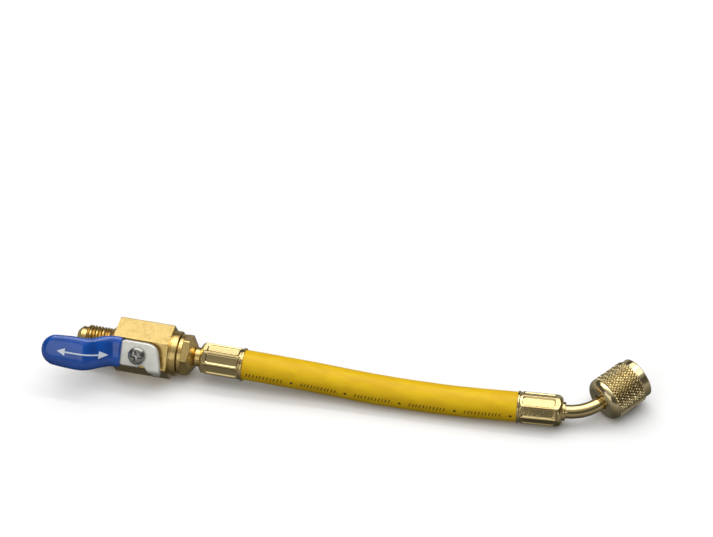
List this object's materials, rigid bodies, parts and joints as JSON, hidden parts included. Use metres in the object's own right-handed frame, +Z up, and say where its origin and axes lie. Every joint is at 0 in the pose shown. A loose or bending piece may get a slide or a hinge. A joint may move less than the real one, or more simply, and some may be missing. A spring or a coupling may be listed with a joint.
{
  "type": "refrigerant charging hose",
  "caption": "Short charging hose with a lever ball valve and flare thread at one end and a bent tube with a knurled swivel nut at the other.",
  "frame": {"origin": "on the bottom flat of the valve's hexagon, straight below the centre of the ball", "axes": "+X along the valve from its flare thread towards the hose, +Z up, normal to the hexagon's top flat"},
  "size_m": [0.2348, 0.0547, 0.0242],
  "materials": {
    "brass": "machined brass with fine tool lines, slightly dulled",
    "bright_brass": "bright pressed and turned brass",
    "bright_steel": "bright steel",
    "plated_steel": "pale satin zinc plate",
    "blue_dip": "glossy dipped vinyl",
    "yellow_rubber": "smooth yellow hose cover",
    "white_seat": "white fluoropolymer",
    "black_rubber": "black sealing rubber"
  },
  "bodies": {
    "hose_assembly": {"valve_body": "brass", "seat_inlet": "white_seat", "seat_outlet": "white_seat", "end_fitting": "brass", "stem_gland": "brass", "ferrule_valve_end": "bright_brass", "hose": "yellow_rubber", "ferrule_elbow_end": "bright_brass", "elbow_tube": "bright_brass", "gasket": "black_rubber", "core_depressor": "brass"},
    "lever": {"ball": "bright_steel", "stem": "bright_steel", "lever_plate": "plated_steel", "lever_grip": "blue_dip", "lever_screw": "bright_steel"},
    "swivel_nut": {"coupling_nut": "bright_brass"}
  },
  "joints": [
    {"name": "lever_turn", "type": "hinge", "parent": "hose_assembly", "child": "lever", "pos_m": [0, 0, 0.00953], "axis": [0, -0.866, 0.5], "range_deg": [-90, 0]},
    {"name": "nut_spin", "type": "hinge", "parent": "hose_assembly", "child": "swivel_nut", "pos_m": [0.17949, 0.01328, 0.00832], "axis": [0.6369, 0.7503, 0.177], "continuous": true}
  ]
}
